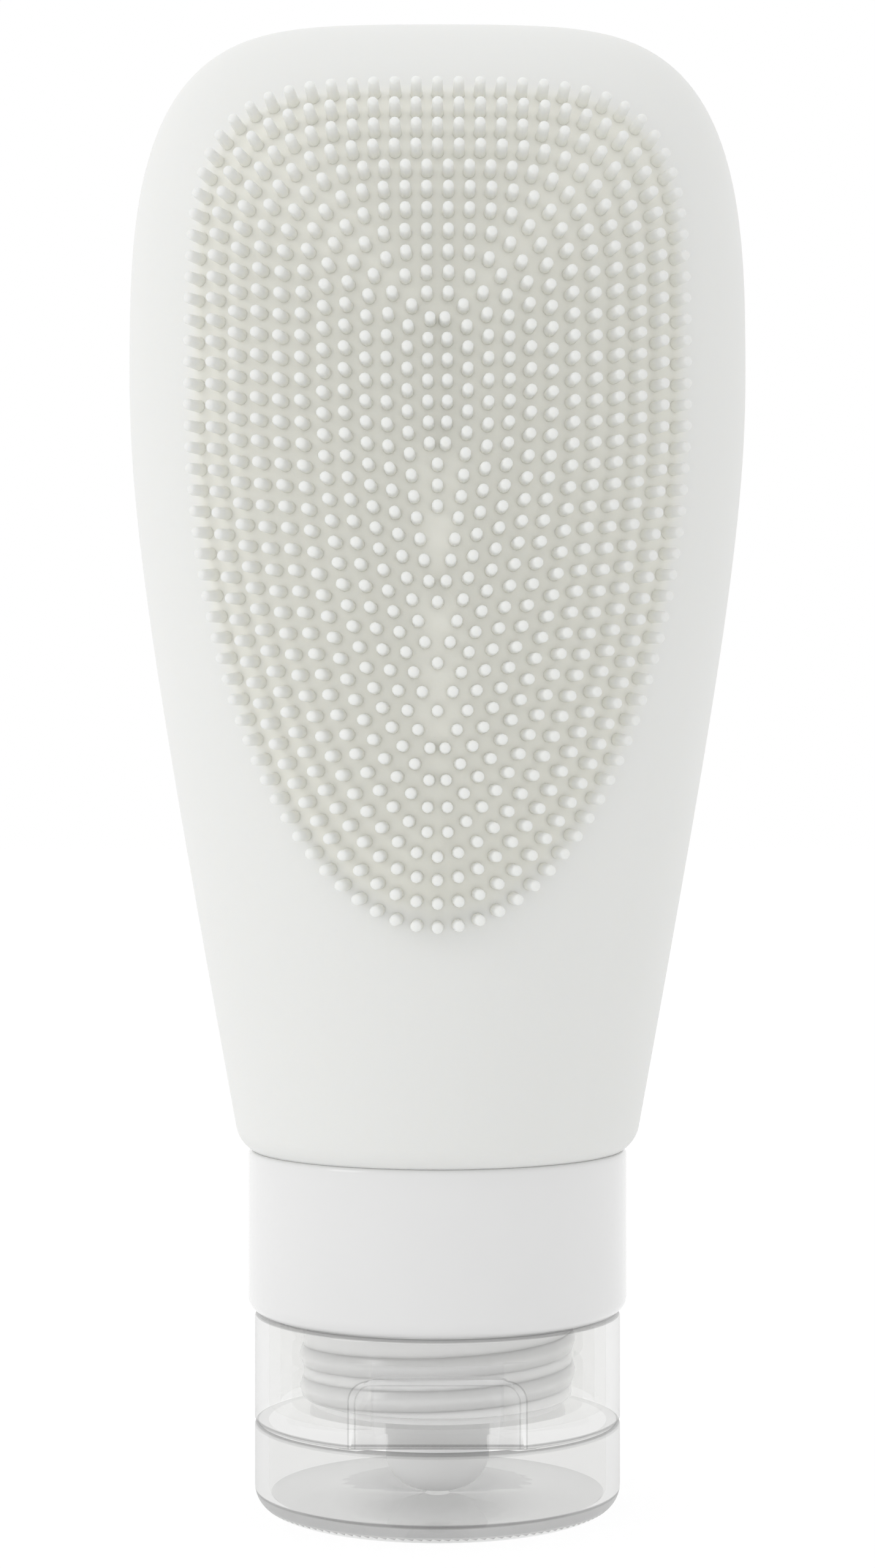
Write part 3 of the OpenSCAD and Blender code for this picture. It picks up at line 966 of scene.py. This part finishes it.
class TRAVELBOTTLE_OT_valve(bpy.types.Operator):
    """Build the soft valve that stands in the lid"""

    bl_idname = "travelbottle.valve"
    bl_label = "Valve"

    def execute(self, context):
        settings = context.scene.bottle_hard
        outline = [(ORIFICE_RADIUS, SPOUT_TIP + 0.5), (ORIFICE_RADIUS + 0.5, SPOUT_TIP)]
        outline += arc(SPOUT_RADIUS - SPOUT_ROUND, SPOUT_TIP + SPOUT_ROUND, SPOUT_ROUND, -88, 0, 16)
        outline += [(SPOUT_RADIUS, VALVE_LOW), (VALVE_RADIUS, VALVE_LOW), (VALVE_RADIUS, VALVE_TOP)]
        outline += [(PASSAGE_RADIUS, VALVE_TOP), (PASSAGE_RADIUS, PASSAGE_LOW), (ORIFICE_RADIUS, ORIFICE_TOP)]
        bm = bmesh.new()
        spun(bm, outline, settings.steps // 2)
        silicone = white_material("Valve silicone", settings.valve_colour, 0.38, depth=0.0012)
        finished("soft_valve", bm, "valve", "valve", silicone, 50.0)
        return {"FINISHED"}


class TRAVELBOTTLE_OT_clear_cap(bpy.types.Operator):
    """Build the clear screw cap and its flip lid"""

    bl_idname = "travelbottle.clear_cap"
    bl_label = "Clear cap and lid"

    def execute(self, context):
        settings = context.scene.bottle_hard
        cap_plastic = clear_material("Clear cap plastic", settings, CAP_PAINTED_SHADE, recess=True)
        merged_copy("cap_base", "clear_cap", "cap", cap_plastic)
        lid_plastic = clear_material("Clear lid plastic", settings, LID_PAINTED_SHADE, spout=True)
        merged_copy("flip_lid", "clear_lid", "lid", lid_plastic)
        return {"FINISHED"}


class TRAVELBOTTLE_OT_stage(bpy.types.Operator):
    """Set up the pale floor, the soft light and the camera"""

    bl_idname = "travelbottle.stage"
    bl_label = "Studio"

    def execute(self, context):
        settings = context.scene.bottle_stage
        self.floor(context, settings)
        self.room(context, settings)
        self.lamp(context, settings)
        camera = bpy.data.objects.new("Camera", bpy.data.cameras.new("Camera"))
        context.scene.collection.objects.link(camera)
        camera.location = (0.0, -settings.camera_distance, settings.camera_height)
        camera.rotation_euler = (math.radians(90.0), 0.0, 0.0)
        camera.data.lens = settings.lens
        camera.data.sensor_width = 36.0
        camera.data.clip_start = 0.01
        context.scene.camera = camera
        context.scene.view_settings.view_transform = "Standard"
        return {"FINISHED"}

    def seen_through(self, tree):
        """1 on camera, glossy and transmitted rays, 0 on those that carry light."""
        path = tree.nodes.new("ShaderNodeLightPath")
        total = path.outputs["Is Camera Ray"]
        for name in ("Is Glossy Ray", "Is Transmission Ray"):
            total = calculated(tree, "MAXIMUM", total, path.outputs[name])
        return total

    def floor(self, context, settings):
        """White to the eye apart from the object's shadow; as a surface that throws light back, pale."""
        bm = bmesh.new()
        bmesh.ops.create_grid(bm, x_segments=1, y_segments=1, size=FLOOR_HALF_WIDTH)
        mesh = bpy.data.meshes.new("Floor")
        bm.to_mesh(mesh)
        bm.free()
        floor = bpy.data.objects.new("Floor", mesh)
        context.scene.collection.objects.link(floor)
        floor.location.z = -FLOOR_GAP
        material, tree, shader = fresh_material("Floor")
        set_inputs(shader, {
            "Roughness": 0.9, "Specular IOR Level": 0.0, "Emission Color": (1.0, 1.0, 1.0, 1.0),
        })
        seen = self.seen_through(tree)
        tree.links.new(tinted(tree, settings.floor_colour, FLOOR_SEEN, seen), shader.inputs["Base Color"])
        tree.links.new(calculated(tree, "MULTIPLY", seen, FLOOR_GLOW), shader.inputs["Emission Strength"])
        mesh.materials.append(material)

    def room(self, context, settings):
        """White to the eye; as a light, a little stronger from the left, from behind and from above."""
        world = bpy.data.worlds.new("Room")
        context.scene.world = world
        world.use_nodes = True
        tree = world.node_tree
        ground = tree.nodes["Background"]
        ground.inputs["Color"].default_value = (1.0, 1.0, 1.0, 1.0)
        coords = tree.nodes.new("ShaderNodeTexCoord")
        slope = tree.nodes.new("ShaderNodeVectorMath")
        slope.operation = "DOT_PRODUCT"
        slope.inputs[1].default_value = settings.room_slope
        tree.links.new(coords.outputs["Generated"], slope.inputs[0])
        mix = tree.nodes.new("ShaderNodeMix")
        mix.inputs["B"].default_value = 1.0
        tree.links.new(calculated(tree, "ADD", slope.outputs["Value"], settings.room_light), mix.inputs["A"])
        tree.links.new(self.seen_through(tree), mix.inputs["Factor"])
        tree.links.new(mix.outputs["Result"], ground.inputs["Strength"])

    def lamp(self, context, settings):
        """A soft lamp at the upper left, turned to the bottle."""
        data = bpy.data.lights.new("Upper left lamp", "AREA")
        data.shape = "RECTANGLE"
        data.size, data.size_y = LAMP_SIZE
        data.energy = settings.lamp_power
        lamp = bpy.data.objects.new("Upper left lamp", data)
        context.scene.collection.objects.link(lamp)
        lamp.location = LAMP_PLACE
        lamp.rotation_euler = (Vector(LAMP_TARGET) - Vector(LAMP_PLACE)).to_track_quat("-Z", "Y").to_euler()


class TRAVELBOTTLE_PT_panel(bpy.types.Panel):
    """Lists the pieces and their settings"""

    bl_idname = "TRAVELBOTTLE_PT_panel"
    bl_label = "Travel Bottle"
    bl_space_type = "VIEW_3D"
    bl_region_type = "UI"
    bl_category = "Travel Bottle"

    def draw(self, context):
        layout = self.layout
        for group in (context.scene.bottle_skin, context.scene.bottle_hard, context.scene.bottle_stage):
            column = layout.box().column()
            for key in group.__annotations__:
                column.prop(group, key)
        for operator in OPERATORS:
            layout.operator(operator.bl_idname)


OPERATORS = (
    TRAVELBOTTLE_OT_squeeze_body,
    TRAVELBOTTLE_OT_collar,
    TRAVELBOTTLE_OT_neck,
    TRAVELBOTTLE_OT_valve,
    TRAVELBOTTLE_OT_clear_cap,
    TRAVELBOTTLE_OT_stage,
)
GROUPS = {"bottle_skin": SkinSettings, "bottle_hard": HardSettings, "bottle_stage": StageSettings}


def register():
    for name, group in GROUPS.items():
        bpy.utils.register_class(group)
        setattr(bpy.types.Scene, name, PointerProperty(type=group))
    for operator in OPERATORS:
        bpy.utils.register_class(operator)
    bpy.utils.register_class(TRAVELBOTTLE_PT_panel)


def unregister():
    bpy.utils.unregister_class(TRAVELBOTTLE_PT_panel)
    for operator in reversed(OPERATORS):
        bpy.utils.unregister_class(operator)
    for name, group in GROUPS.items():
        delattr(bpy.types.Scene, name)
        bpy.utils.unregister_class(group)


def main():
    register()
    bpy.ops.travelbottle.squeeze_body()
    bpy.ops.travelbottle.collar()
    bpy.ops.travelbottle.neck()
    bpy.ops.travelbottle.valve()
    bpy.ops.travelbottle.clear_cap()
    bpy.ops.travelbottle.stage()


if __name__ == "__main__":
    main()
